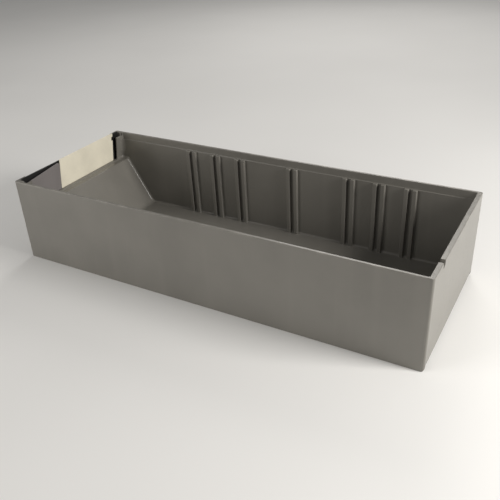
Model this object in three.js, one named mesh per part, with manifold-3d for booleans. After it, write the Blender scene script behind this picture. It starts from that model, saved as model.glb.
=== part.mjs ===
// Stackable storage bin: a long open shelf bin with a leaning label end and a plain end.
// Units are millimetres. +X points from the label end to the plain end, +Y to the far long wall, +Z up.
// The origin is in the middle, level with the undersides of the runners.
import * as THREE from 'three';
import { mergeVertices } from 'three/addons/utils/BufferGeometryUtils.js';
import Module from 'manifold-3d';

// Overall size
const LENGTH = 400;
const WIDTH = 152;
const HEIGHT = 82;

// Walls, floor and runners
const RIM_WALL = 2.4;
const LEDGE_STEP = 0.9;
const LEDGE_DROP = 7.2;
const END_WALL = 4;
const FLOOR_THICKNESS = 2.2;
const RUNNER_HEIGHT = 1.5;

// Outside and inside radii
const HEEL_RADIUS = 3.2;
const TOE_RADIUS = 1.6;
const RUNNER_RADIUS = 3;
const PLAN_RADIUS = 2;
const CAVITY_CORNER = 3;
const LABEL_CORNER = 4;
const FLOOR_FILLET = 2.6;
const RAMP_FILLET = 6;
const RAMP_CREST = 2;

// Divider slots: pairs of ribs on both long walls, counted in steps from the middle pair
const SLOT_STEPS = [-4, -3, -2, 0, 2, 3, 4];
const SLOT_PITCH = 29.5;
const SLOT_WIDTH = 3.9;
const RIB_WIDTH = 3.9;
const RIB_REACH = 2.8;

// Label panel's height, from the shelf up to the rim, and the ramp and finger recess below it
const LABEL_RISE = 29.5;
const SHELF_REACH = 14;
const RAMP_REACH = 43;
const SHELL = 2.2;
const FINGER_LIP = 4;

// Label pocket, a wedge: the carrier is square to the label panel, and the card and the lips lean further
const LABEL_LEAN = THREE.MathUtils.degToRad(4);
const CARD_LEAN = THREE.MathUtils.degToRad(8);
const PANEL = 1.3;
const LAYER_GAP = 0.3;
const CARRIER_THICKNESS = 1.3;
const BLANK_THICKNESS = 1;
const CARD_THICKNESS = 0.6;
const LIP_THICKNESS = 1.5;
const LIP_WIDTH = 9.7;
const LIP_DROP = 2.5;
const SILL_HEIGHT = 1.8;
const POCKET_FLOOR = 0.8;
const POCKET_SIDE = 1.2;
const CARRIER_RISE = 1.2;
const CARRIER_CORNER = 1;

// Reading window in the label panel and in the carrier
const READING_WIDTH = 96;
const READING_SILL = 6;
const READING_HEAD = 7.5;
const READING_CORNER = 2;
const WINDOW_BORDER = 3;
const WINDOW_THICKNESS = 0.5;
const WINDOW_GAP = 0.3;

// Card and blank standing in the pocket
const CARD_WIDTH = 82;
const CARD_GAP = 4.2;
const CARD_RISE = 4.1;
const CARD_CORNER = 1;
const NICK_DROP = 4;
const NICK_HEIGHT = 4.5;
const NICK_DEPTH = 2;
const BLANK_SIDE = 2.5;
const BLANK_RISE = 1.6;
const BLANK_SLANT = THREE.MathUtils.degToRad(6.5);
const BLANK_CORNER = 0.8;
const BLANK_CROWN = 3;
const BLANK_GAP = 0.6;

// Notch in the plain end's rim
const NOTCH_WIDTH = 5;
const NOTCH_DEPTH = 5;
const NOTCH_INSET = 26.6;

const ARC_STEPS = 8;
const PAST = 5;
const OVERLAP = 0.6;

const wasm = await Module();
wasm.setup();

// Places worked out from the sizes above
const left = -LENGTH / 2;
const right = LENGTH / 2;
const halfWidth = WIDTH / 2;
const ledgeHeight = HEIGHT - LEDGE_DROP;
const shelfHeight = HEIGHT - LABEL_RISE;
const sideWall = RIM_WALL + LEDGE_STEP;
const floorTop = RUNNER_HEIGHT + FLOOR_THICKNESS;
const cavityHalf = halfWidth - sideWall;
const pocketHalf = cavityHalf - POCKET_SIDE;
const carrierFace = PANEL + LAYER_GAP;
const cardFace = carrierFace + CARRIER_THICKNESS + LAYER_GAP;
const lipFace = cardFace + BLANK_THICKNESS + LAYER_GAP;
const lipBack = lipFace + LIP_THICKNESS;
const panelHeight = LABEL_RISE / Math.cos(LABEL_LEAN);
const slopeHeight = LABEL_RISE / Math.cos(CARD_LEAN);
const layerFloor = POCKET_FLOOR + LAYER_GAP;
const carrierTop = panelHeight + CARRIER_RISE;
const cardTop = slopeHeight + CARD_RISE;
const lipEdge = cavityHalf - LIP_WIDTH;
const cardFar = lipEdge - CARD_GAP;
const cardNear = cardFar - CARD_WIDTH;
const rampAngle = Math.atan2(shelfHeight - floorTop, RAMP_REACH - SHELF_REACH);
const floorStart = left + RAMP_REACH + RAMP_FILLET * Math.tan(rampAngle / 2);

// Frames of the label panel and of the card: +X through them towards the contents, +Z up their slope
function leaningFrame(lean) {
  const frame = new THREE.Group();
  frame.position.set(left, 0, shelfHeight);
  frame.rotation.y = lean;
  frame.updateMatrix();
  return frame;
}

const labelFrame = leaningFrame(LABEL_LEAN);
const cardFrame = leaningFrame(CARD_LEAN);

// An outline from corners [x, y, radius], with a true arc at each corner that has a radius
function outline(corners) {
  const shape = new THREE.Shape();
  const count = corners.length;
  for (let index = 0; index < count; index += 1) {
    const [x, y, radius = 0] = corners[index];
    const corner = new THREE.Vector2(x, y);
    const before = new THREE.Vector2(...corners[(index + count - 1) % count].slice(0, 2));
    const after = new THREE.Vector2(...corners[(index + 1) % count].slice(0, 2));
    const toBefore = before.clone().sub(corner).normalize();
    const toAfter = after.clone().sub(corner).normalize();
    if (radius > 0) {
      const halfAngle = Math.acos(THREE.MathUtils.clamp(toBefore.dot(toAfter), -1, 1)) / 2;
      const reach = radius / Math.tan(halfAngle);
      const start = corner.clone().addScaledVector(toBefore, reach);
      const end = corner.clone().addScaledVector(toAfter, reach);
      const middle = toBefore.clone().add(toAfter).normalize();
      const centre = corner.clone().addScaledVector(middle, radius / Math.sin(halfAngle));
      const startAngle = start.clone().sub(centre).angle();
      const endAngle = end.clone().sub(centre).angle();
      const clockwise = toBefore.cross(toAfter) > 0;
      shape.absarc(centre.x, centre.y, radius, startAngle, endAngle, clockwise);
    } else if (index === 0) {
      shape.moveTo(x, y);
    } else {
      shape.lineTo(x, y);
    }
  }
  shape.closePath();
  return shape;
}

function rectangle(x0, y0, x1, y1, radius = 0) {
  return outline([[x0, y0, radius], [x1, y0, radius], [x1, y1, radius], [x0, y1, radius]]);
}

function extrude(shape, depth) {
  return new THREE.ExtrudeGeometry(shape, { depth, bevelEnabled: false, curveSegments: ARC_STEPS });
}

// Side view (x, z), run along Y from y0 to y1
function alongY(shape, y0, y1) {
  const geometry = extrude(shape, y1 - y0);
  geometry.rotateX(Math.PI / 2);
  geometry.translate(0, y1, 0);
  return geometry;
}

// End view (y, z), run along X from x0 to x1
function alongX(shape, x0, x1) {
  const geometry = extrude(shape, x1 - x0);
  geometry.rotateX(Math.PI / 2);
  geometry.rotateZ(Math.PI / 2);
  geometry.translate(x0, 0, 0);
  return geometry;
}

// Plan view (x, y), run along Z from z0 to z1
function alongZ(shape, z0, z1) {
  const geometry = extrude(shape, z1 - z0);
  geometry.translate(0, 0, z0);
  return geometry;
}

function box(x0, y0, z0, x1, y1, z1) {
  const geometry = new THREE.BoxGeometry(x1 - x0, y1 - y0, z1 - z0);
  geometry.translate((x0 + x1) / 2, (y0 + y1) / 2, (z0 + z1) / 2);
  return geometry;
}

function solid(geometry) {
  const bare = geometry.clone();
  bare.deleteAttribute('normal');
  bare.deleteAttribute('uv');
  const merged = mergeVertices(bare);
  const vertProperties = new Float32Array(merged.attributes.position.array);
  const triVerts = new Uint32Array(merged.index.array);
  return new wasm.Manifold(new wasm.Mesh({ numProp: 3, vertProperties, triVerts }));
}

function leaning(geometry, frame) {
  return solid(geometry.clone().applyMatrix4(frame.matrix));
}

function namedMesh(name, body, material) {
  const mesh = body.getMesh();
  const geometry = new THREE.BufferGeometry();
  geometry.setAttribute('position', new THREE.BufferAttribute(new Float32Array(mesh.vertProperties), 3));
  geometry.setIndex(new THREE.BufferAttribute(new Uint32Array(mesh.triVerts), 1));
  geometry.computeVertexNormals();
  const piece = new THREE.Mesh(geometry, material);
  piece.name = name;
  return piece;
}

// The block that the bin is hollowed from: its sides reach down past the floor as two runners
function outerBlock() {
  const middle = outline([
    [left, RUNNER_HEIGHT, TOE_RADIUS],
    [right, RUNNER_HEIGHT, HEEL_RADIUS],
    [right, HEIGHT],
    [left, HEIGHT],
  ]);
  const side = outline([
    [left, 0, RUNNER_RADIUS],
    [right, 0, RUNNER_RADIUS],
    [right, HEIGHT],
    [left, HEIGHT],
  ]);
  const plan = rectangle(left, -halfWidth, right, halfWidth, PLAN_RADIUS);
  return solid(alongY(middle, -cavityHalf - OVERLAP, cavityHalf + OVERLAP))
    .add(solid(alongY(side, -halfWidth, -cavityHalf)))
    .add(solid(alongY(side, cavityHalf, halfWidth)))
    .intersect(solid(alongZ(plan, 0, HEIGHT)));
}

// The space for the contents: down to the floor, the ramp and the shelf behind the label
function cavity() {
  const inner = right - END_WALL;
  const rise = HEIGHT + PAST - shelfHeight;
  const lean = rise * Math.tan(CARD_LEAN);
  const start = left + lipBack / Math.cos(CARD_LEAN);
  const side = outline([
    [start, shelfHeight, LEDGE_STEP],
    [left + SHELF_REACH, shelfHeight, RAMP_CREST],
    [left + RAMP_REACH, floorTop, RAMP_FILLET],
    [inner, floorTop, FLOOR_FILLET],
    [inner, HEIGHT + PAST],
    [start + lean, HEIGHT + PAST],
  ]);
  const below = outline([
    [-cavityHalf, floorTop, FLOOR_FILLET],
    [cavityHalf, floorTop, FLOOR_FILLET],
    [cavityHalf, HEIGHT + PAST],
    [-cavityHalf, HEIGHT + PAST],
  ]);
  const cornered = outline([
    [start, -cavityHalf, LABEL_CORNER],
    [inner, -cavityHalf, CAVITY_CORNER],
    [inner, cavityHalf, CAVITY_CORNER],
    [start, cavityHalf, LABEL_CORNER],
  ]);
  const rimHalf = halfWidth - RIM_WALL;
  const mouth = box(start + LABEL_CORNER, -rimHalf, ledgeHeight, inner, rimHalf, HEIGHT + PAST);
  const profile = solid(alongY(side, -halfWidth, halfWidth));
  const well = solid(alongX(below, left, right)).intersect(solid(alongZ(cornered, 0, HEIGHT + PAST)));
  return profile.intersect(well.add(solid(mouth)));
}

// The open wedge under the ramp, where fingers pull the bin off its shelf
function fingerRecess() {
  const shellAcross = SHELL / Math.sin(rampAngle);
  const slope = (RAMP_REACH - SHELF_REACH) / (shelfHeight - floorTop);
  const undersideAt = (height) => left + SHELF_REACH - shellAcross + (shelfHeight - height) * slope;
  const shelfUnder = shelfHeight - SHELL;
  const lipUnder = shelfUnder - FINGER_LIP;
  const side = outline([
    [left - PAST, RUNNER_HEIGHT - PAST],
    [undersideAt(RUNNER_HEIGHT - PAST), RUNNER_HEIGHT - PAST],
    [undersideAt(shelfUnder), shelfUnder, RAMP_CREST],
    [left + SHELL, shelfUnder, LEDGE_STEP],
    [left + SHELL, lipUnder],
    [left - PAST, lipUnder],
  ]);
  return solid(alongY(side, -cavityHalf, cavityHalf));
}

// The space in front of the leaning label panel, between the two pillars
function panelRecess() {
  return leaning(box(-PAST * 2, -lipEdge, 0, 0, lipEdge, panelHeight + PAST), labelFrame);
}

// The wedge that the carrier, the card and the blank slide down into, and its cut-away lip
function labelPocket() {
  const high = panelHeight + PAST;
  const inside = lipFace - OVERLAP;
  const outside = lipBack + PAST;
  const slot = box(PANEL, -pocketHalf, POCKET_FLOOR, lipFace, pocketHalf, high);
  const gap = box(inside, -lipEdge, SILL_HEIGHT, outside, lipEdge, high);
  const top = box(inside, -cavityHalf, slopeHeight - LIP_DROP, outside, cavityHalf, high);
  return leaning(slot, labelFrame)
    .add(leaning(slot, cardFrame))
    .add(leaning(gap, cardFrame))
    .add(leaning(top, cardFrame));
}

function readingShape(border) {
  const half = READING_WIDTH / 2 + border;
  return rectangle(
    -half, READING_SILL - border, half, panelHeight - READING_HEAD + border, READING_CORNER,
  );
}

function readingWindow() {
  return leaning(alongX(readingShape(0), -PAST, PANEL + OVERLAP), labelFrame);
}

// Ribs in pairs, each pair holding one divider's edge; they stop level with the ledge
function ribs() {
  const middle = (floorStart + right - END_WALL) / 2;
  const offset = (SLOT_WIDTH + RIB_WIDTH) / 2;
  const pieces = [];
  for (const step of SLOT_STEPS) {
    for (const side of [-1, 1]) {
      const x = middle + step * SLOT_PITCH + side * offset;
      for (const wall of [-1, 1]) {
        const inner = wall * (cavityHalf - RIB_REACH);
        const outer = wall * (cavityHalf + OVERLAP);
        pieces.push(solid(box(
          x - RIB_WIDTH / 2, Math.min(inner, outer), floorTop - OVERLAP,
          x + RIB_WIDTH / 2, Math.max(inner, outer), ledgeHeight,
        )));
      }
    }
  }
  return pieces;
}

function endNotch() {
  const y = NOTCH_INSET - halfWidth;
  return solid(box(
    right - END_WALL - PAST, y - NOTCH_WIDTH / 2, HEIGHT - NOTCH_DEPTH,
    right + PAST, y + NOTCH_WIDTH / 2, HEIGHT + PAST,
  ));
}

function binBody() {
  let body = outerBlock();
  for (const cut of [cavity(), fingerRecess(), panelRecess(), labelPocket(), readingWindow()]) {
    body = body.subtract(cut);
  }
  for (const rib of ribs()) {
    body = body.add(rib);
  }
  return body.subtract(endNotch());
}

// A dark strip behind the label panel, with a rebate on its outer face for the clear window
function labelCarrier() {
  const half = pocketHalf - LAYER_GAP;
  const back = carrierFace + CARRIER_THICKNESS;
  const rebate = carrierFace + WINDOW_THICKNESS + WINDOW_GAP;
  const strip = rectangle(-half, layerFloor, half, carrierTop, CARRIER_CORNER);
  return solid(alongX(strip, carrierFace, back))
    .subtract(solid(alongX(readingShape(0), carrierFace - PAST, back + PAST)))
    .subtract(solid(alongX(readingShape(WINDOW_BORDER), carrierFace - PAST, rebate)));
}

function labelWindow() {
  const pane = readingShape(WINDOW_BORDER - WINDOW_GAP);
  return solid(alongX(pane, carrierFace, carrierFace + WINDOW_THICKNESS));
}

// The card, with a nick in its far edge
function labelCard() {
  const nickTop = cardTop - NICK_DROP;
  const nickEnd = cardFar - NICK_DEPTH;
  const card = outline([
    [cardNear, layerFloor, CARD_CORNER],
    [cardFar, layerFloor, CARD_CORNER],
    [cardFar, nickTop - NICK_HEIGHT],
    [nickEnd, nickTop - NICK_HEIGHT, CARD_CORNER],
    [nickEnd, nickTop, CARD_CORNER],
    [cardFar, nickTop],
    [cardFar, cardTop, CARD_CORNER],
    [cardNear, cardTop, CARD_CORNER],
  ]);
  return solid(alongX(card, cardFace, cardFace + CARD_THICKNESS));
}

// The blank stands beside the card, its top edge falling away from the card
function labelBlank() {
  const farEdge = cardNear - BLANK_GAP;
  const nearEdge = BLANK_SIDE - pocketHalf;
  const top = slopeHeight + BLANK_RISE;
  const blank = outline([
    [nearEdge, layerFloor, BLANK_CORNER],
    [farEdge, layerFloor, BLANK_CORNER],
    [farEdge, top, BLANK_CROWN],
    [nearEdge, top - (farEdge - nearEdge) * Math.tan(BLANK_SLANT), BLANK_CORNER],
  ]);
  return solid(alongX(blank, cardFace, cardFace + BLANK_THICKNESS));
}

const binPlastic = new THREE.MeshStandardMaterial({ color: 0x7c7a74, roughness: 0.42, metalness: 0 });
const carrierPlastic = new THREE.MeshStandardMaterial({ color: 0x232322, roughness: 0.5, metalness: 0 });
const clearPlastic = new THREE.MeshStandardMaterial({
  color: 0xe6ece8, roughness: 0.1, metalness: 0, transparent: true, opacity: 0.35,
});
const cardPaper = new THREE.MeshStandardMaterial({ color: 0xd2cab4, roughness: 0.85, metalness: 0 });
const blankPlastic = new THREE.MeshStandardMaterial({ color: 0x8a8684, roughness: 0.5, metalness: 0 });

labelFrame.add(namedMesh('label_carrier', labelCarrier(), carrierPlastic));
labelFrame.add(namedMesh('label_window', labelWindow(), clearPlastic));
cardFrame.add(namedMesh('label_card', labelCard(), cardPaper));
cardFrame.add(namedMesh('label_blank', labelBlank(), blankPlastic));

const storageBin = new THREE.Group();
storageBin.add(namedMesh('bin_body', binBody(), binPlastic));
storageBin.add(labelFrame);
storageBin.add(cardFrame);

export default storageBin;
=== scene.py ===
"""Stackable storage bin: a moulded shelf bin with divider ribs, a ramp and a leaning label pocket."""
import math

import bmesh
import bpy
from mathutils import Matrix, Vector


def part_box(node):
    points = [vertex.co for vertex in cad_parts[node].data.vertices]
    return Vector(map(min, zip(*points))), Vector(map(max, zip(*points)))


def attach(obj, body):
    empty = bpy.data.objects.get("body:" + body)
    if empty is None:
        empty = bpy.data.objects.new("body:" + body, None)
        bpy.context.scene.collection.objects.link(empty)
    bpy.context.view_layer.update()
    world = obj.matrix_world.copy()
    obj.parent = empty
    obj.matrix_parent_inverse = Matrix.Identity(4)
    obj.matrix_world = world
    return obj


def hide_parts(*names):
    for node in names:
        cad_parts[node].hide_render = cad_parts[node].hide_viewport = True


bl_info = {
    "name": "Stackable Storage Bin",
    "version": (1, 0, 0),
    "blender": (4, 5, 0),
    "location": "View3D > Sidebar > Storage Bin",
    "description": "Builds a moulded shelf bin, the pieces in its label pocket and a plain stage",
    "category": "Add Mesh",
}

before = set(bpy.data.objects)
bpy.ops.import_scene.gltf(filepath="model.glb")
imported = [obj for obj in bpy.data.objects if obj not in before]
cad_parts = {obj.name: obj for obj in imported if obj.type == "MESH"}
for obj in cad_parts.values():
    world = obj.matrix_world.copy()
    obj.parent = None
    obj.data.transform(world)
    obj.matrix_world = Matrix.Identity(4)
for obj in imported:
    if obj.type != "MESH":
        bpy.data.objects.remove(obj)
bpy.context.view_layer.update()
BODY_LOW, BODY_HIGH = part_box("bin_body")

MM = 0.001
LEFT, RIGHT = BODY_LOW.x, BODY_HIGH.x
HALF_WIDTH = BODY_HIGH.y
HEIGHT = BODY_HIGH.z

# Heights and reaches of the moulding, the same as the solid part's
RUNNER_HEIGHT = 1.5 * MM
RUNNER_RADIUS = 3 * MM
HEEL_RADIUS = 3.2 * MM
TOE_RADIUS = 1.6 * MM
PLAN_RADIUS = 2 * MM
RAMP_REACH = 43 * MM
SHELF_REACH = 14 * MM
RAMP_FOOT_RADIUS = 6 * MM
RAMP_CREST_RADIUS = 2 * MM
LABEL_RISE = 29.5 * MM
FINGER_LIP = 4 * MM
SHELL = 2.2 * MM
NOTCH_INSET = 26.6 * MM
NOTCH_WIDTH = 5 * MM
NOTCH_DEPTH = 5 * MM
NOTCH_CORNER = 0.8 * MM
MOUTH_START = 4 * MM
MOUTH_CORNER = 1.2 * MM
SHELL_CORNER = 0.9 * MM
RIB_CORNER = 0.8 * MM
WELL_BEND_EASE = 0.4 * MM
BOW_BAND = 10 * MM

# Edges nearer than this to where a step fades into the plain end stay sharp
STEP_MARGIN = 0.8 * MM
END_MARGIN = 1 * MM
CORNER_MARGIN = 0.3 * MM
LEDGE_MARGIN = 2 * MM
LEDGE_REACH = 4.7 * MM

# Marks under the floor
PIN_ROWS = (-48 * MM, 48 * MM)
PIN_COLUMNS = (-110 * MM, -20 * MM, 70 * MM, 160 * MM)
PIN_RADIUS = 4 * MM
PIN_DEPTH = 0.2 * MM
GATE_X = 20 * MM
GATE_RADIUS = 2.5 * MM
GATE_DEPTH = 0.5 * MM

# Slots along the long walls, counted in pitches from the middle one
SLOT_STEPS = (-4, -3, -2, 0, 2, 3, 4)

# Label pocket: the carrier is square to the leaning panel, the card and the lips lean further
LABEL_LEAN = math.radians(4)
CARD_LEAN = math.radians(8)
PANEL = 1.3 * MM
LAYER_GAP = 0.3 * MM
CARRIER_THICKNESS = 1.3 * MM
BLANK_THICKNESS = 1 * MM
CARD_THICKNESS = 0.6 * MM
LIP_THICKNESS = 1.5 * MM
LIP_WIDTH = 9.7 * MM
LIP_DROP = 2.5 * MM
SILL_HEIGHT = 1.8 * MM
POCKET_FLOOR = 0.8 * MM
POCKET_SIDE = 1.2 * MM
CARRIER_RISE = 1.2 * MM
CARRIER_CORNER = 1 * MM
READING_SILL = 6 * MM
READING_HEAD = 7.5 * MM
READING_CORNER = 2 * MM
WINDOW_BORDER = 3 * MM
CARRIER_EDGE = 0.15 * MM
WINDOW_EDGE = 0.12 * MM
CARD_EDGE = 0.08 * MM
BLANK_EDGE = 0.2 * MM
WINDOW_THICKNESS = 0.5 * MM
WINDOW_GAP = 0.3 * MM
CARD_GAP = 4.2 * MM
CARD_RISE = 4.1 * MM
CARD_CORNER = 1 * MM
NICK_DROP = 4 * MM
NICK_HEIGHT = 4.5 * MM
NICK_DEPTH = 2 * MM
BLANK_SIDE = 2.5 * MM
BLANK_RISE = 1.6 * MM
BLANK_SLANT = math.radians(6.5)
BLANK_CORNER = 0.8 * MM
BLANK_CROWN = 3 * MM
BLANK_GAP = 0.6 * MM

PAST = 5 * MM
OVERLAP = 0.6 * MM
ARC_STEP = math.radians(11)
SHARP = math.radians(30)
WELD = 0.002 * MM
BOW_SLICES = 24

SHELF_EDGE = Matrix.Translation((LEFT, 0, HEIGHT - LABEL_RISE))
LABEL_FRAME = SHELF_EDGE @ Matrix.Rotation(LABEL_LEAN, 4, "Y")
CARD_FRAME = SHELF_EDGE @ Matrix.Rotation(CARD_LEAN, 4, "Y")


# ---------------------------------------------------------------- settings

class BinSizes(bpy.types.PropertyGroup):
    """Sizes of the moulding that can be set by themselves."""
    rim_wall: bpy.props.FloatProperty(
        name="Rim wall", description="Thickness of the long walls above the ledge",
        default=2.4 * MM, min=0.5 * MM, unit="LENGTH", precision=5)
    ledge_step: bpy.props.FloatProperty(
        name="Ledge step", description="How far the wall below the ledge stands in from the rim",
        default=0.9 * MM, min=0.1 * MM, unit="LENGTH", precision=5)
    ledge_drop: bpy.props.FloatProperty(
        name="Ledge drop", description="Distance from the rim's top down to the ledge",
        default=7.2 * MM, min=1 * MM, unit="LENGTH", precision=5)
    end_wall: bpy.props.FloatProperty(
        name="End wall", description="Thickness of the plain end",
        default=4 * MM, min=1 * MM, unit="LENGTH", precision=5)
    floor_thickness: bpy.props.FloatProperty(
        name="Floor", description="Thickness of the floor",
        default=2.2 * MM, min=0.5 * MM, unit="LENGTH", precision=5)
    well_fillet: bpy.props.FloatProperty(
        name="Well fillet", description="Radius of the inside corners along floor, ramp and ends",
        default=2.6 * MM, min=0.5 * MM, unit="LENGTH", precision=5)
    label_fillet: bpy.props.FloatProperty(
        name="Label corner", description="Radius of the two upright corners beside the label",
        default=5 * MM, min=1 * MM, unit="LENGTH", precision=5)
    edge_radius: bpy.props.FloatProperty(
        name="Edge radius", description="Rounding of every moulded edge",
        default=0.35 * MM, min=0, unit="LENGTH", precision=5)
    rib_width: bpy.props.FloatProperty(
        name="Rib width", description="Width of one divider rib",
        default=3.9 * MM, min=1 * MM, unit="LENGTH", precision=5)
    slot_width: bpy.props.FloatProperty(
        name="Slot width", description="Gap between the two ribs of a pair",
        default=3.9 * MM, min=1 * MM, unit="LENGTH", precision=5)
    rib_reach: bpy.props.FloatProperty(
        name="Rib reach", description="How far the ribs stand out from the wall",
        default=2.8 * MM, min=0.5 * MM, unit="LENGTH", precision=5)
    slot_pitch: bpy.props.FloatProperty(
        name="Slot pitch", description="Distance between neighbouring divider slots",
        default=29.5 * MM, min=10 * MM, unit="LENGTH", precision=5)
    wall_bow: bpy.props.FloatProperty(
        name="Wall bow", description="How far moulding shrinkage draws the long walls in at mid length",
        default=0.9 * MM, min=0, unit="LENGTH", precision=5)
    card_width: bpy.props.FloatProperty(
        name="Card width", description="Width of the label card",
        default=82 * MM, min=20 * MM, unit="LENGTH", precision=5)
    reading_width: bpy.props.FloatProperty(
        name="Reading window", description="Width of the window that the label is read through",
        default=96 * MM, min=20 * MM, unit="LENGTH", precision=5)


class BinFinishes(bpy.types.PropertyGroup):
    """Colours and gloss of the finishes."""
    plastic: bpy.props.FloatVectorProperty(
        name="Bin plastic", description="Base colour of the moulding",
        default=(0.178, 0.170, 0.152), subtype="COLOR", size=3, min=0, max=1)
    # Painted shade: the near-black carrier colour stands in for the deep shadow seen down the label pocket's
    # gaps
    carrier: bpy.props.FloatVectorProperty(
        name="Carrier plastic", description="Base colour of the dark label carrier",
        default=(0.012, 0.012, 0.012), subtype="COLOR", size=3, min=0, max=1)
    card: bpy.props.FloatVectorProperty(
        name="Card", description="Base colour of the label card",
        default=(0.80, 0.755, 0.62), subtype="COLOR", size=3, min=0, max=1)
    blank: bpy.props.FloatVectorProperty(
        name="Blank", description="Base colour of the blank strip beside the card",
        default=(0.205, 0.190, 0.188), subtype="COLOR", size=3, min=0, max=1)
    film: bpy.props.FloatVectorProperty(
        name="Window film", description="Tint of the clear window",
        default=(0.86, 0.90, 0.88), subtype="COLOR", size=3, min=0, max=1)
    gloss: bpy.props.FloatProperty(
        name="Roughness", description="Mean roughness of the moulded plastic",
        default=0.32, min=0.05, max=1, subtype="FACTOR")


class StageSettings(bpy.types.PropertyGroup):
    """Camera and light."""
    azimuth: bpy.props.FloatProperty(
        name="Azimuth", description="Direction of the camera round the bin",
        default=math.radians(30.52), subtype="ANGLE", unit="ROTATION")
    elevation: bpy.props.FloatProperty(
        name="Elevation", description="Height of the camera above the horizon",
        default=math.radians(30.22), subtype="ANGLE", unit="ROTATION")
    roll: bpy.props.FloatProperty(
        name="Roll", description="Turn of the camera about its line of sight",
        default=math.radians(-2.77), subtype="ANGLE", unit="ROTATION")
    distance: bpy.props.FloatProperty(
        name="Distance", description="From the camera to the point it aims at",
        default=562 * MM, unit="LENGTH")
    aim: bpy.props.FloatVectorProperty(
        name="Aim", description="Point that the camera looks at",
        default=(30.1 * MM, -31.9 * MM, 40 * MM), subtype="TRANSLATION", size=3)
    lens: bpy.props.FloatProperty(
        name="Lens", description="Focal length on a 36 mm sensor, in millimetres",
        default=46.16, min=10)
    key_power: bpy.props.FloatProperty(
        name="Key light", description="Power of the light beyond the plain end, in watts",
        default=8.6, min=0)
    fill_power: bpy.props.FloatProperty(
        name="Fill light", description="Power of the soft light in front, in watts",
        default=10.8, min=0)
    back_power: bpy.props.FloatProperty(
        name="Back light", description="Power of the light behind the far wall, in watts",
        default=5, min=0)
    sky: bpy.props.FloatProperty(
        name="Sky", description="Strength of the even light from all round",
        default=0.235, min=0)


class StorageBinSettings(bpy.types.PropertyGroup):
    """Everything that a user would change."""
    sizes: bpy.props.PointerProperty(type=BinSizes)
    finishes: bpy.props.PointerProperty(type=BinFinishes)
    stage: bpy.props.PointerProperty(type=StageSettings)


# Each lamp's place and width
KEY_LAMP = ((0.85, 0.03, 0.45), 0.3)
FILL_LAMP = ((-0.95, -1.0, 0.35), 0.8)
BACK_LAMP = ((-0.3, 1.2, 0.9), 0.6)


# ---------------------------------------------------------------- outlines and solids

def arc(centre, radius, start, turn):
    """Points along an arc, both ends included."""
    steps = max(2, math.ceil(abs(turn) / ARC_STEP))
    angles = [start + turn * step / steps for step in range(steps + 1)]
    return [Vector((centre[0] + radius * math.cos(a), centre[1] + radius * math.sin(a))) for a in angles]


def rounded(corners):
    """A closed outline from (u, v, radius) corners, with a true arc at each corner that has a radius."""
    points = []
    for index, corner in enumerate(corners):
        here = Vector(corner[:2])
        radius = corner[2] if len(corner) > 2 else 0
        if radius <= 0:
            points.append(here)
            continue
        before = (Vector(corners[index - 1][:2]) - here).normalized()
        after = (Vector(corners[(index + 1) % len(corners)][:2]) - here).normalized()
        half = math.acos(max(-1, min(1, before.dot(after)))) / 2
        reach = radius / math.tan(half)
        centre = here + (before + after).normalized() * radius / math.sin(half)
        first = here + before * reach - centre
        last = here + after * reach - centre
        start = math.atan2(first.y, first.x)
        turn = (math.atan2(last.y, last.x) - start + math.pi) % (2 * math.pi) - math.pi
        points.extend(arc(centre, radius, start, turn))
    return points


def rectangle(u0, v0, u1, v1, radius=0):
    return rounded([(u0, v0, radius), (u1, v0, radius), (u1, v1, radius), (u0, v1, radius)])


def placed(axis, along, point):
    """A point of an outline at a distance along its axis: X takes (y, z), Y takes (x, z), Z takes (x, y)."""
    u, v = point
    return {"X": (along, u, v), "Y": (u, along, v), "Z": (u, v, along)}[axis]


def new_object(name, mesh_data):
    made = bpy.data.objects.new(name, mesh_data)
    bpy.context.scene.collection.objects.link(made)
    return made


def to_object(name, shape, matrix=None):
    """Turns a bmesh into an object with its faces pointing out."""
    if matrix is not None:
        shape.transform(matrix)
    bmesh.ops.recalc_face_normals(shape, faces=shape.faces)
    mesh_data = bpy.data.meshes.new(name)
    shape.to_mesh(mesh_data)
    shape.free()
    return new_object(name, mesh_data)


def add_prism(shape, points, axis, low, high):
    near = [shape.verts.new(placed(axis, low, point)) for point in points]
    far = [shape.verts.new(placed(axis, high, point)) for point in points]
    shape.faces.new(near)
    shape.faces.new(reversed(far))
    for index in range(len(points)):
        after = (index + 1) % len(points)
        shape.faces.new((near[index], far[index], far[after], near[after]))


def prism(name, points, axis, low, high, matrix=None):
    shape = bmesh.new()
    add_prism(shape, points, axis, low, high)
    return to_object(name, shape, matrix)


def box(name, low, high, matrix=None):
    return prism(name, rectangle(low[0], low[1], high[0], high[1]), "Z", low[2], high[2], matrix)


def apply_modifiers(piece):
    graph = bpy.context.evaluated_depsgraph_get()
    made = bpy.data.meshes.new_from_object(piece.evaluated_get(graph))
    old = piece.data
    piece.modifiers.clear()
    piece.data = made
    made.name = piece.name
    bpy.data.meshes.remove(old)


def combine(piece, operation, *tools):
    """Cuts, joins or intersects a piece with other solids, which are used up."""
    for tool in tools:
        change = piece.modifiers.new("combine", "BOOLEAN")
        change.operation = operation
        change.solver = "EXACT"
        change.object = tool
        apply_modifiers(piece)
        bpy.data.objects.remove(tool)
    return piece


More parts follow.
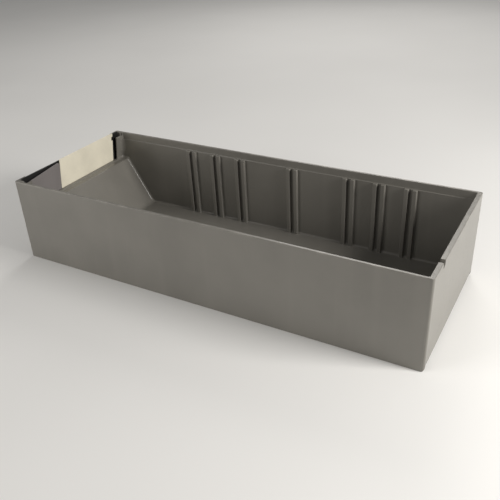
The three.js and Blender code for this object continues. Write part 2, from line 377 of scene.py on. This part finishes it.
def round_edges(piece, radius, skipped=None, segments=2):
    """Rounds the sharp edges, all but those whose middle skipped says have no room for it."""
    piece.data.shade_smooth()
    weights = piece.data.attributes.new("bevel_weight_edge", "FLOAT", "EDGE")
    shape = bmesh.new()
    shape.from_mesh(piece.data)
    layer = shape.edges.layers.float[weights.name]
    for edge in shape.edges:
        middle = (edge.verts[0].co + edge.verts[1].co) / 2
        if edge.calc_face_angle(0) > SHARP and not (skipped and skipped(middle)):
            edge[layer] = 1
    shape.to_mesh(piece.data)
    shape.free()
    bevel = piece.modifiers.new("edges", "BEVEL")
    bevel.width = radius
    bevel.segments = segments
    bevel.limit_method = "WEIGHT"
    bevel.use_clamp_overlap = False
    bevel.face_strength_mode = "FSTR_AFFECTED"
    apply_modifiers(piece)


def shade(piece):
    """Shades the flats as flats, with the rounded edges between them smooth."""
    normals = piece.modifiers.new("normals", "WEIGHTED_NORMAL")
    normals.use_face_influence = True
    normals.keep_sharp = True
    apply_modifiers(piece)


def clean(piece):
    """Welds stray points and dissolves the seams that cutting leaves in flat faces."""
    shape = bmesh.new()
    shape.from_mesh(piece.data)
    bmesh.ops.remove_doubles(shape, verts=shape.verts, dist=WELD)
    bmesh.ops.dissolve_limit(
        shape, angle_limit=math.radians(0.5), verts=shape.verts, edges=shape.edges)
    bmesh.ops.recalc_face_normals(shape, faces=shape.faces)
    shape.to_mesh(piece.data)
    shape.free()


# ---------------------------------------------------------------- the moulding

class Places:
    """Positions worked out from the sizes."""

    def __init__(self, sizes):
        self.side_wall = sizes.rim_wall + sizes.ledge_step
        self.cavity_half = HALF_WIDTH - self.side_wall
        self.rim_half = HALF_WIDTH - sizes.rim_wall
        self.pocket_half = self.cavity_half - POCKET_SIDE
        self.floor_top = RUNNER_HEIGHT + sizes.floor_thickness
        self.ledge = HEIGHT - sizes.ledge_drop
        self.shelf = HEIGHT - LABEL_RISE
        self.end_inner = RIGHT - sizes.end_wall
        self.panel_height = LABEL_RISE / math.cos(LABEL_LEAN)
        self.slope_height = LABEL_RISE / math.cos(CARD_LEAN)
        self.carrier_face = PANEL + LAYER_GAP
        self.card_face = self.carrier_face + CARRIER_THICKNESS + LAYER_GAP
        self.lip_face = self.card_face + BLANK_THICKNESS + LAYER_GAP
        self.lip_back = self.lip_face + LIP_THICKNESS
        self.layer_floor = POCKET_FLOOR + LAYER_GAP
        self.carrier_top = self.panel_height + CARRIER_RISE
        self.card_top = self.slope_height + CARD_RISE
        self.lip_edge = self.cavity_half - LIP_WIDTH
        self.card_far = self.lip_edge - CARD_GAP
        self.card_near = self.card_far - sizes.card_width
        self.well_start = LEFT + self.lip_back / math.cos(CARD_LEAN)
        self.ramp_angle = math.atan2(self.shelf - self.floor_top, RAMP_REACH - SHELF_REACH)
        # the ramp meets the floor here
        self.floor_start = LEFT + RAMP_REACH + RAMP_FOOT_RADIUS * math.tan(self.ramp_angle / 2)

    def fading_step(self, place):
        """True at a runner's corners, and where its step or the rim's ledge fades into the plain end."""
        side = abs(place.y)
        beside = abs(side - self.cavity_half) < STEP_MARGIN
        low = place.z < RUNNER_HEIGHT + 2 * HEEL_RADIUS
        runner = beside and low and place.x > RIGHT - END_MARGIN
        corner = abs(place.x) > RIGHT - PLAN_RADIUS - CORNER_MARGIN and place.z < RUNNER_RADIUS
        along = self.end_inner - LEDGE_MARGIN < place.x < self.end_inner + LEDGE_MARGIN / 4
        ledge = side > self.cavity_half - LEDGE_REACH and abs(place.z - self.ledge) < LEDGE_MARGIN
        return runner or corner or along and ledge


def outer_block(places):
    """The block that is hollowed out: its sides reach down past the floor as two runners."""
    middle = rounded([
        (LEFT, RUNNER_HEIGHT, TOE_RADIUS), (RIGHT, RUNNER_HEIGHT, HEEL_RADIUS),
        (RIGHT, HEIGHT), (LEFT, HEIGHT),
    ])
    side = rounded([
        (LEFT, 0, RUNNER_RADIUS), (RIGHT, 0, RUNNER_RADIUS), (RIGHT, HEIGHT), (LEFT, HEIGHT),
    ])
    inner = places.cavity_half
    block = prism("bin_moulding", middle, "Y", -inner - OVERLAP, inner + OVERLAP)
    combine(
        block, "UNION", prism("near_side", side, "Y", -HALF_WIDTH - PAST, -inner),
        prism("far_side", side, "Y", inner, HALF_WIDTH + PAST))
    plan = rectangle(LEFT, -HALF_WIDTH, RIGHT, HALF_WIDTH, PLAN_RADIUS)
    return combine(block, "INTERSECT", prism("plan_view", plan, "Z", -PAST, HEIGHT + PAST))


def swept_well(sizes, places):
    """The space for the contents: one wall-to-wall surface down the lip, over shelf and ramp, along the floor
    and up the plain end, joined to the long walls by a fillet that is larger beside the label."""
    top = HEIGHT + PAST
    tight = sizes.well_fillet + WELL_BEND_EASE
    slope = math.tan(CARD_LEAN)
    bend = places.shelf + 2 * sizes.label_fillet
    route = [
        Vector((places.well_start + (top - places.shelf) * slope, top)),
        Vector((places.well_start + (bend - places.shelf) * slope, bend)),
    ]
    route += rounded([
        (places.well_start, places.shelf, tight),
        (LEFT + SHELF_REACH, places.shelf, RAMP_CREST_RADIUS),
        (LEFT + RAMP_REACH, places.floor_top, RAMP_FOOT_RADIUS),
        (places.end_inner, places.floor_top, tight),
        (places.end_inner, top), (route[1].x, route[1].y),
    ])[:-1]
    steps = math.ceil(math.pi / 2 / ARC_STEP)
    turns = [math.pi / 2 * step / steps for step in range(steps + 1)]
    shape = bmesh.new()
    rows = []
    last = len(route) - 1
    for index, point in enumerate(route):
        before = (point - route[max(index - 1, 0)]).normalized()
        after = (route[min(index + 1, last)] - point).normalized()
        along = (before + after).normalized()
        fillet = sizes.label_fillet if index < 2 else sizes.well_fillet
        side = [
            (places.cavity_half - fillet * (1 - math.sin(turn)), fillet * (1 - math.cos(turn)))
            for turn in turns
        ]
        across = [(-y, rise) for y, rise in reversed(side)] + side
        row = []
        for y, rise in across:
            z = top if index in (0, last) else point.y + along.x * rise
            row.append(shape.verts.new((point.x - along.y * rise, y, z)))
        rows.append(row)
    for row, after in zip(rows, rows[1:]):
        for index in range(len(row) - 1):
            shape.faces.new((row[index], row[index + 1], after[index + 1], after[index]))
    for end in (0, -1):
        shape.faces.new([row[end] for row in rows])
    shape.faces.new(rows[0] + list(reversed(rows[-1])))
    bmesh.ops.triangulate(shape, faces=[face for face in shape.faces if len(face.verts) == 4])
    return to_object("well", shape)


def rim_mouth(sizes, places):
    """The wider space above the ledge."""
    radius = MOUTH_CORNER
    start = places.well_start + MOUTH_START
    plan = rounded([
        (start, -places.rim_half, radius), (places.end_inner, -places.rim_half, radius),
        (places.end_inner, places.rim_half, radius), (start, places.rim_half, radius),
    ])
    return prism("mouth", plan, "Z", places.ledge, HEIGHT + PAST)


def finger_recess(places):
    shell_across = SHELL / math.sin(places.ramp_angle)
    slope = 1 / math.tan(places.ramp_angle)

    def underside(height):
        return LEFT + SHELF_REACH - shell_across + (places.shelf - height) * slope

    shelf_under = places.shelf - SHELL
    side = rounded([
        (LEFT - PAST, -PAST), (underside(-PAST), -PAST),
        (underside(shelf_under), shelf_under, RAMP_CREST_RADIUS), (LEFT + SHELL, shelf_under, SHELL_CORNER),
        (LEFT + SHELL, shelf_under - FINGER_LIP), (LEFT - PAST, shelf_under - FINGER_LIP),
    ])
    return prism("finger_recess", side, "Y", -places.cavity_half, places.cavity_half)


def label_cuts(sizes, places):
    """The space before the panel, the wedge of the pocket, the gap in its lip and the reading window."""
    high = places.panel_height + PAST
    inner = places.lip_face - OVERLAP
    deep = places.lip_back + PAST
    edge, half = places.lip_edge, places.cavity_half
    low = (PANEL, -places.pocket_half, POCKET_FLOOR)
    corner = (places.lip_face, places.pocket_half, high)
    lip_gap = rounded([
        (-edge, SILL_HEIGHT, CARD_CORNER), (edge, SILL_HEIGHT, CARD_CORNER), (edge, high), (-edge, high),
    ])
    lip_top = places.slope_height - LIP_DROP
    return (
        box("front", (-2 * PAST, -edge, 0), (0, edge, high), LABEL_FRAME),
        box("carrier_slot", low, corner, LABEL_FRAME),
        box("card_slot", low, corner, CARD_FRAME),
        prism("lip_gap", lip_gap, "X", inner, deep, CARD_FRAME),
        box("lip_top", (inner, -half, lip_top), (deep, half, high), CARD_FRAME),
        prism("window", reading_outline(sizes, places, 0), "X", -PAST, PANEL + OVERLAP, LABEL_FRAME),
    )


def reading_outline(sizes, places, border):
    half = sizes.reading_width / 2 + border
    return rectangle(
        -half, READING_SILL - border, half, places.panel_height - READING_HEAD + border, READING_CORNER)


def divider_ribs(sizes, places):
    """Pairs of ribs on both long walls; each pair holds one edge of a divider."""
    middle = (places.floor_start + places.end_inner) / 2
    offset = (sizes.slot_width + sizes.rib_width) / 2
    half = sizes.rib_width / 2
    tip = places.cavity_half - sizes.rib_reach
    root = places.cavity_half + OVERLAP
    radius = RIB_CORNER
    shape = bmesh.new()
    for step in SLOT_STEPS:
        for side in (-1, 1):
            x = middle + step * sizes.slot_pitch + side * offset
            for wall in (-1, 1):
                plan = rounded([
                    (x - half, wall * root), (x + half, wall * root),
                    (x + half, wall * tip, radius), (x - half, wall * tip, radius),
                ])
                add_prism(shape, plan, "Z", places.floor_top - OVERLAP, places.ledge)
    return to_object("ribs", shape)


def end_notch():
    """The notch in the plain end's rim."""
    y = NOTCH_INSET - HALF_WIDTH
    half, low = NOTCH_WIDTH / 2, HEIGHT - NOTCH_DEPTH
    side = rounded([
        (y - half, low, NOTCH_CORNER), (y + half, low, NOTCH_CORNER),
        (y + half, HEIGHT + PAST), (y - half, HEIGHT + PAST),
    ])
    return prism("notch", side, "X", RIGHT - 2 * PAST, RIGHT + PAST)


def gate_marks():
    """Shallow round marks under the floor where the mould's pins pushed, and the gate's dimple."""
    marks = [(x, y, PIN_RADIUS, PIN_DEPTH) for x in PIN_COLUMNS for y in PIN_ROWS]
    marks.append((GATE_X, 0, GATE_RADIUS, GATE_DEPTH))
    shape = bmesh.new()
    for x, y, radius, depth in marks:
        circle = arc((x, y), radius, 0, 2 * math.pi)[:-1]
        add_prism(shape, circle, "Z", RUNNER_HEIGHT - PAST, RUNNER_HEIGHT + depth)
    return to_object("marks", shape)


def bow_walls(piece, sizes):
    """Slices the bin across and draws the long walls in, most at mid length and at the rim."""
    shape = bmesh.new()
    shape.from_mesh(piece.data)
    for step in range(1, BOW_SLICES):
        x = LEFT + (RIGHT - LEFT) * step / BOW_SLICES
        bmesh.ops.bisect_plane(
            shape, geom=shape.verts[:] + shape.edges[:] + shape.faces[:],
            plane_co=(x, 0, 0), plane_no=(1, 0, 0), dist=WELD)
    for vertex in shape.verts:
        place = vertex.co
        if abs(place.y) < HALF_WIDTH - BOW_BAND:
            continue
        along = (place.x - LEFT) / (RIGHT - LEFT)
        rise = max(0, place.z - RUNNER_HEIGHT) / (HEIGHT - RUNNER_HEIGHT)
        inward = sizes.wall_bow * math.sin(math.pi * along) ** 2 * rise ** 1.5
        place.y -= math.copysign(inward, place.y)
    shape.to_mesh(piece.data)
    shape.free()


def build_moulding(sizes):
    places = Places(sizes)
    piece = outer_block(places)
    combine(piece, "DIFFERENCE", swept_well(sizes, places), rim_mouth(sizes, places))
    combine(piece, "DIFFERENCE", finger_recess(places), *label_cuts(sizes, places))
    combine(piece, "UNION", divider_ribs(sizes, places))
    combine(piece, "DIFFERENCE", end_notch(), gate_marks())
    clean(piece)
    round_edges(piece, sizes.edge_radius, places.fading_step)
    bow_walls(piece, sizes)
    shade(piece)
    return piece


# ---------------------------------------------------------------- the label pocket's pieces

def build_carrier(sizes):
    places = Places(sizes)
    half = places.pocket_half - LAYER_GAP
    face, back = places.carrier_face, places.carrier_face + CARRIER_THICKNESS
    strip = rectangle(-half, places.layer_floor, half, places.carrier_top, CARRIER_CORNER)
    piece = prism("carrier_strip", strip, "X", face, back, LABEL_FRAME)
    opening = prism(
        "opening", reading_outline(sizes, places, 0), "X", face - PAST, back + PAST, LABEL_FRAME)
    rebate = prism(
        "rebate", reading_outline(sizes, places, WINDOW_BORDER), "X", face - PAST,
        face + WINDOW_THICKNESS + WINDOW_GAP, LABEL_FRAME)
    combine(piece, "DIFFERENCE", opening, rebate)
    clean(piece)
    round_edges(piece, CARRIER_EDGE)
    shade(piece)
    return piece


def build_window(sizes):
    places = Places(sizes)
    pane = reading_outline(sizes, places, WINDOW_BORDER - WINDOW_GAP)
    face = places.carrier_face
    piece = prism("window_pane", pane, "X", face, face + WINDOW_THICKNESS, LABEL_FRAME)
    round_edges(piece, WINDOW_EDGE)
    shade(piece)
    return piece


def build_card(sizes):
    """The card, with a nick in its far edge."""
    places = Places(sizes)
    near, far, low, top = places.card_near, places.card_far, places.layer_floor, places.card_top
    nick_top, nick_end = top - NICK_DROP, far - NICK_DEPTH
    card = rounded([
        (near, low, CARD_CORNER), (far, low, CARD_CORNER), (far, nick_top - NICK_HEIGHT),
        (nick_end, nick_top - NICK_HEIGHT, CARD_CORNER), (nick_end, nick_top, CARD_CORNER),
        (far, nick_top), (far, top, CARD_CORNER), (near, top, CARD_CORNER),
    ])
    piece = prism("card_sheet", card, "X", places.card_face, places.card_face + CARD_THICKNESS, CARD_FRAME)
    round_edges(piece, CARD_EDGE)
    shade(piece)
    return piece


def build_blank(sizes):
    """The blank, its top edge falling away from the card."""
    places = Places(sizes)
    far = places.card_near - BLANK_GAP
    near = BLANK_SIDE - places.pocket_half
    low, top = places.layer_floor, places.slope_height + BLANK_RISE
    strip = rounded([
        (near, low, BLANK_CORNER), (far, low, BLANK_CORNER), (far, top, BLANK_CROWN),
        (near, top - (far - near) * math.tan(BLANK_SLANT), BLANK_CORNER),
    ])
    piece = prism("blank_strip", strip, "X", places.card_face, places.card_face + BLANK_THICKNESS, CARD_FRAME)
    round_edges(piece, BLANK_EDGE)
    shade(piece)
    return piece


# ---------------------------------------------------------------- finishes

class Wire:
    """A node's output. Arithmetic on it adds Math nodes."""

    def __init__(self, graph, socket):
        self.graph = graph
        self.socket = socket

    def math(self, operation, *values):
        return self.graph.node("ShaderNodeMath", {"operation": operation}, dict(enumerate(values)))

    def __add__(self, other):
        return self.math("ADD", self, other)

    def __sub__(self, other):
        return self.math("SUBTRACT", self, other)

    def __rsub__(self, other):
        return self.math("SUBTRACT", other, self)

    def __mul__(self, other):
        return self.math("MULTIPLY", self, other)

    def __truediv__(self, other):
        return self.math("DIVIDE", self, other)

    __radd__ = __add__
    __rmul__ = __mul__

    def between(self, low, high):
        """0 up to low, 1 from high on, and smooth between them."""
        return self.graph.node(
            "ShaderNodeMapRange", {"interpolation_type": "SMOOTHSTEP"},
            {"Value": self, "From Min": low, "From Max": high})


class Graph:
    """A material's nodes."""

    def __init__(self, name):
        self.material = bpy.data.materials.new(name)
        self.material.use_nodes = True
        self.tree = self.material.node_tree
        self.shader = self.tree.nodes["Principled BSDF"]

    def node(self, kind, settings, sockets, output=0):
        """Adds a node: its settings first, then the values or links of its sockets."""
        made = self.tree.nodes.new(kind)
        for key, value in settings.items():
            if key == "stops":
                self.set_stops(made.color_ramp, value)
            else:
                setattr(made, key, value)
        for key, value in sockets.items():
            self.feed(made.inputs[key], value)
        return Wire(self, made.outputs[output])

    def set_stops(self, ramp, stops):
        while len(ramp.elements) < len(stops):
            ramp.elements.new(1)
        for element, (position, colour) in zip(ramp.elements, stops):
            element.position = position
            element.color = colour

    def feed(self, socket, value):
        if isinstance(value, Wire):
            self.tree.links.new(value.socket, socket)
        else:
            socket.default_value = value

    def surface(self, **values):
        """Feeds the shader's sockets: base_color becomes Base Color, and so on."""
        for key, value in values.items():
            self.feed(self.shader.inputs[key.replace("_", " ").title()], value)

    def place(self):
        return self.node("ShaderNodeTexCoord", {}, {}, output="Object")

    def stretched(self, scale):
        return self.node("ShaderNodeMapping", {}, {"Vector": self.place(), "Scale": scale})

    def noise(self, scale, detail=3.0, roughness=0.5, vector=None):
        return self.node(
            "ShaderNodeTexNoise", {},
            {"Vector": vector or self.place(), "Scale": scale, "Detail": detail, "Roughness": roughness})

    def mix(self, factor, first, second):
        return self.node(
            "ShaderNodeMix", {"data_type": "RGBA", "clamp_factor": True},
            {"Factor": factor, 6: first, 7: second}, output=2)

    def bump(self, height, strength, distance):
        return self.node(
            "ShaderNodeBump", {}, {"Height": height, "Strength": strength, "Distance": distance})


def tinted(colour, gain):
    """The colour with alpha, made lighter or darker."""
    return tuple(min(1, channel * gain) for channel in colour) + (1,)


def moulded_plastic(name, colour, gloss):
    """Satin moulded plastic: cloudy colour, faint upright flow lines, rubbed rim and a fine grained skin."""
    graph = Graph(name)
    clouds = graph.noise(14, detail=4)
    flow = graph.noise(60, detail=2, vector=graph.stretched((1, 1, 0.06)))
    scuffs = graph.noise(220, detail=6, roughness=0.7, vector=graph.stretched((0.35, 1, 1)))
    height = graph.node("ShaderNodeSeparateXYZ", {}, {"Vector": graph.place()}, output="Z")
    rubbed = height.between(HEIGHT - 2 * MM, HEIGHT) * graph.noise(90, detail=5).between(0.42, 0.7)
    tone = graph.mix(clouds.between(0.3, 0.7), tinted(colour, 0.93), tinted(colour, 1.07))
    tone = graph.mix(flow.between(0.45, 0.75) * 0.35, tone, tinted(colour, 1.18))
    tone = graph.mix(rubbed * 0.5, tone, tinted(colour, 1.6))
    tone = graph.mix(scuffs.between(0.66, 0.8) * 0.3, tone, tinted(colour, 1.45))
    grain = graph.noise(1600, detail=2)
    skin = grain * 0.5 + clouds * 1.5 + scuffs * 0.4
    graph.surface(
        base_color=tone,
        roughness=gloss - 0.06 + clouds * 0.1 + scuffs.between(0.55, 0.8) * 0.12,
        normal=graph.bump(skin, 0.12, 0.2 * MM),
    )
    return graph.material


def card_paper(name, colour):
    graph = Graph(name)
    fibres = graph.noise(900, detail=5, roughness=0.65)
    mottle = graph.noise(45, detail=3)
    tone = graph.mix(mottle.between(0.3, 0.7), tinted(colour, 0.94), tinted(colour, 1.05))
    tone = graph.mix(fibres.between(0.55, 0.75) * 0.25, tone, tinted(colour, 0.86))
    graph.surface(
        base_color=tone,
        roughness=0.78 + fibres * 0.12,
        normal=graph.bump(fibres, 0.2, 0.05 * MM),
    )
    return graph.material


def clear_film(name, colour):
    graph = Graph(name)
    haze = graph.noise(70, detail=5, roughness=0.6)
    graph.surface(
        base_color=graph.mix(haze.between(0.4, 0.7), tinted(colour, 1), tinted(colour, 0.94)),
        roughness=0.07 + haze.between(0.5, 0.75) * 0.12,
        alpha=0.3 + haze.between(0.55, 0.8) * 0.1,
        normal=graph.bump(haze, 0.05, 0.1 * MM),
    )
    return graph.material


def floor_finish():
    graph = Graph("stage_floor")
    shade = graph.noise(3, detail=2)
    graph.surface(
        base_color=graph.mix(shade.between(0.3, 0.7), (0.80, 0.80, 0.79, 1), (0.83, 0.83, 0.82, 1)),
        roughness=0.7 + shade * 0.1,
    )
    return graph.material


def finish_piece(piece, material, body, node):
    piece.data.materials.clear()
    piece.data.materials.append(material)
    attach(piece, body)
    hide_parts(node)


# ---------------------------------------------------------------- operators

class StorageBinStage(bpy.types.Operator):
    """Makes the floor, the lights and the camera"""
    bl_idname = "storage_bin.stage"
    bl_label = "Stage"

    def execute(self, context):
        stage = context.scene.storage_bin.stage
        self.make_camera(context, stage)
        self.make_floor()
        self.make_lights(context, stage)
        return {"FINISHED"}

    def make_camera(self, context, stage):
        lens = bpy.data.cameras.new("camera")
        lens.lens = stage.lens
        lens.sensor_width = 36
        lens.clip_start = 0.01
        lens.clip_end = 20
        camera = bpy.data.objects.new("camera", lens)
        context.scene.collection.objects.link(camera)
        flat = math.cos(stage.elevation)
        back = Vector((
            math.sin(stage.azimuth) * flat, -math.cos(stage.azimuth) * flat, math.sin(stage.elevation)))
        turn = back.to_track_quat("Z", "Y").to_matrix().to_4x4() @ Matrix.Rotation(stage.roll, 4, "Z")
        camera.matrix_world = Matrix.Translation(Vector(stage.aim) + back * stage.distance) @ turn
        context.scene.camera = camera

    def make_floor(self):
        shape = bmesh.new()
        add_prism(shape, rectangle(-4, -4, 4, 4, 0.5), "Z", -0.02, 0)
        floor = to_object("floor", shape)
        floor.data.materials.append(floor_finish())

    def make_lights(self, context, stage):
        world = bpy.data.worlds.new("sky")
        world.use_nodes = True
        background = world.node_tree.nodes["Background"]
        background.inputs["Color"].default_value = (1, 0.985, 0.96, 1)
        background.inputs["Strength"].default_value = stage.sky
        context.scene.world = world
        self.add_light(context, "key", *KEY_LAMP, stage.key_power)
        self.add_light(context, "fill", *FILL_LAMP, stage.fill_power)
        self.add_light(context, "back", *BACK_LAMP, stage.back_power)
        context.scene.view_settings.view_transform = "Standard"

    def add_light(self, context, name, place, width, power):
        light = bpy.data.lights.new(name, "AREA")
        light.shape = "SQUARE"
        light.size = width
        light.energy = power
        light.color = (1, 0.97, 0.93)
        lamp = bpy.data.objects.new(name, light)
        context.scene.collection.objects.link(lamp)
        lamp.location = place
        lamp.rotation_euler = Vector(place).to_track_quat("Z", "Y").to_euler()


class StorageBinMoulding(bpy.types.Operator):
    """Makes the bin itself, one moulding"""
    bl_idname = "storage_bin.moulding"
    bl_label = "Bin moulding"

    def execute(self, context):
        settings = context.scene.storage_bin
        piece = build_moulding(settings.sizes)
        finish = moulded_plastic("bin_plastic", settings.finishes.plastic, settings.finishes.gloss)
        finish_piece(piece, finish, "bin", "bin_body")
        return {"FINISHED"}


class StorageBinCarrier(bpy.types.Operator):
    """Makes the carrier, its near-black colour painted shade for the pocket's gaps, and the clear window that
    sits in it
    """
    bl_idname = "storage_bin.carrier"
    bl_label = "Label carrier and window"

    def execute(self, context):
        settings = context.scene.storage_bin
        # The near-black carrier finish is painted shade: it darkens the pocket's gaps to black
        dark = moulded_plastic("carrier_plastic", settings.finishes.carrier, 0.45)
        finish_piece(build_carrier(settings.sizes), dark, "carrier", "label_carrier")
        film = clear_film("window_film", settings.finishes.film)
        finish_piece(build_window(settings.sizes), film, "carrier", "label_window")
        return {"FINISHED"}


class StorageBinLabels(bpy.types.Operator):
    """Makes the card and the blank that stand in the pocket"""
    bl_idname = "storage_bin.labels"
    bl_label = "Card and blank"

    def execute(self, context):
        settings = context.scene.storage_bin
        paper = card_paper("card_paper", settings.finishes.card)
        finish_piece(build_card(settings.sizes), paper, "card", "label_card")
        grey = moulded_plastic("blank_plastic", settings.finishes.blank, 0.42)
        finish_piece(build_blank(settings.sizes), grey, "blank", "label_blank")
        return {"FINISHED"}


class StorageBinPanel(bpy.types.Panel):
    """Lists the operators and their settings"""
    bl_idname = "VIEW3D_PT_storage_bin"
    bl_label = "Storage Bin"
    bl_space_type = "VIEW_3D"
    bl_region_type = "UI"
    bl_category = "Storage Bin"

    def draw(self, context):
        settings = context.scene.storage_bin
        for operator in OPERATORS:
            self.layout.operator(operator.bl_idname)
        for group in (settings.sizes, settings.finishes, settings.stage):
            column = self.layout.column(align=True)
            for name in group.__annotations__:
                column.prop(group, name)


GROUPS = (BinSizes, BinFinishes, StageSettings, StorageBinSettings)
OPERATORS = (StorageBinStage, StorageBinMoulding, StorageBinCarrier, StorageBinLabels)


def register():
    for item in GROUPS + OPERATORS + (StorageBinPanel,):
        bpy.utils.register_class(item)
    bpy.types.Scene.storage_bin = bpy.props.PointerProperty(type=StorageBinSettings)


def unregister():
    del bpy.types.Scene.storage_bin
    for item in reversed(GROUPS + OPERATORS + (StorageBinPanel,)):
        bpy.utils.unregister_class(item)


def main():
    register()
    bpy.ops.storage_bin.stage()
    bpy.ops.storage_bin.moulding()
    bpy.ops.storage_bin.carrier()
    bpy.ops.storage_bin.labels()


if __name__ == "__main__":
    main()
